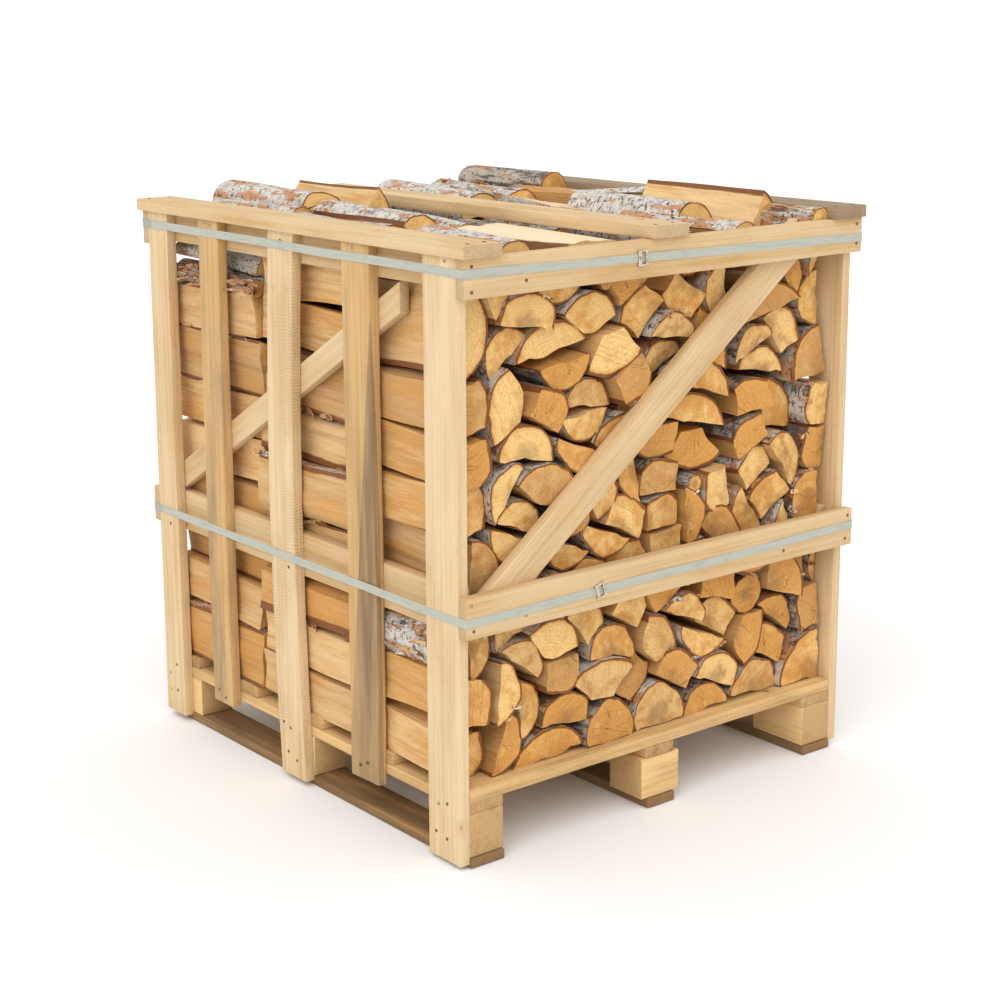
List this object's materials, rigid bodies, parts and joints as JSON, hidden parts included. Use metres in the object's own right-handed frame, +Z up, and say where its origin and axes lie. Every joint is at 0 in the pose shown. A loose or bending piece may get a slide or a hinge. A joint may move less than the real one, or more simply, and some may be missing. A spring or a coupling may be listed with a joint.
{
  "type": "birch firewood crate",
  "caption": "Slatted wooden crate on a block pallet, braced and strapped, filled with stacked split birch logs that lie front to back.",
  "frame": {"origin": "bottom centre of the crate's bounding box, on the floor under the pallet's runners", "axes": "+X along the log-end faces, +Y along the logs from the front end to the back end, +Z up"},
  "size_m": [1.011, 1.1118, 1.1618],
  "materials": {
    "pale_board": "rough sawn pale softwood, fine straight grain, small knots",
    "worn_board": "rough sawn softwood with grey-brown weathering and a waney edge",
    "pallet_board": "rough sawn softwood, browner and dirty",
    "birch_log": "sawn log ends and split faces of dry birch, orange inner bark line",
    "birch_bark": "papery white-grey birch bark with dark flecks and orange peeled spots",
    "strap": "woven polyester strapping, pale grey-green",
    "buckle_wire": "zinc-plated round wire"
  },
  "bodies": {
    "root": {"block_left_back": "pallet_board", "block_left_front": "pallet_board", "block_left_middle": "pallet_board", "block_middle_back": "pallet_board", "block_middle_front": "pallet_board", "block_middle_middle": "pallet_board", "block_right_back": "pallet_board", "block_right_front": "pallet_board", "block_right_middle": "pallet_board", "deck_board_1": "pallet_board", "deck_board_2": "pallet_board", "deck_board_3": "pallet_board", "deck_board_4": "pallet_board", "deck_board_5": "pallet_board", "end_brace_back": "pale_board", "end_brace_front": "pale_board", "end_rail_middle_back": "pale_board", "end_rail_middle_front": "pale_board", "end_rail_top_back": "pale_board", "end_rail_top_front": "pale_board", "log_rank_back": "birch_log", "log_rank_front": "birch_log", "log_rank_middle": "birch_log", "loose_log_bark_half": "birch_bark", "loose_log_flat": "birch_log", "loose_log_half": "birch_log", "loose_log_quarter": "birch_log", "loose_log_round": "birch_bark", "loose_log_squared": "birch_log", "loose_log_white": "birch_bark", "loose_stick": "birch_bark", "runner_left": "pallet_board", "runner_middle": "pallet_board", "runner_right": "pallet_board", "side_brace_left": "pale_board", "side_brace_right": "pale_board", "side_rail_middle_left": "pale_board", "side_rail_middle_right": "pale_board", "side_rail_top_left": "pale_board", "side_rail_top_right": "pale_board", "slat_left_1": "pale_board", "slat_left_2": "worn_board", "slat_left_3": "pale_board", "slat_left_4": "worn_board", "slat_left_5": "pale_board", "slat_right_1": "pale_board", "slat_right_2": "pale_board", "slat_right_3": "worn_board", "slat_right_4": "pale_board", "slat_right_5": "pale_board", "strap_buckle_middle": "buckle_wire", "strap_buckle_top": "buckle_wire", "strap_middle": "strap", "strap_top": "strap", "stringer_left": "pallet_board", "stringer_middle": "pallet_board", "stringer_right": "pallet_board", "top_board_left": "pale_board", "top_board_middle": "pale_board", "top_board_right": "worn_board"}
  },
  "joints": []
}
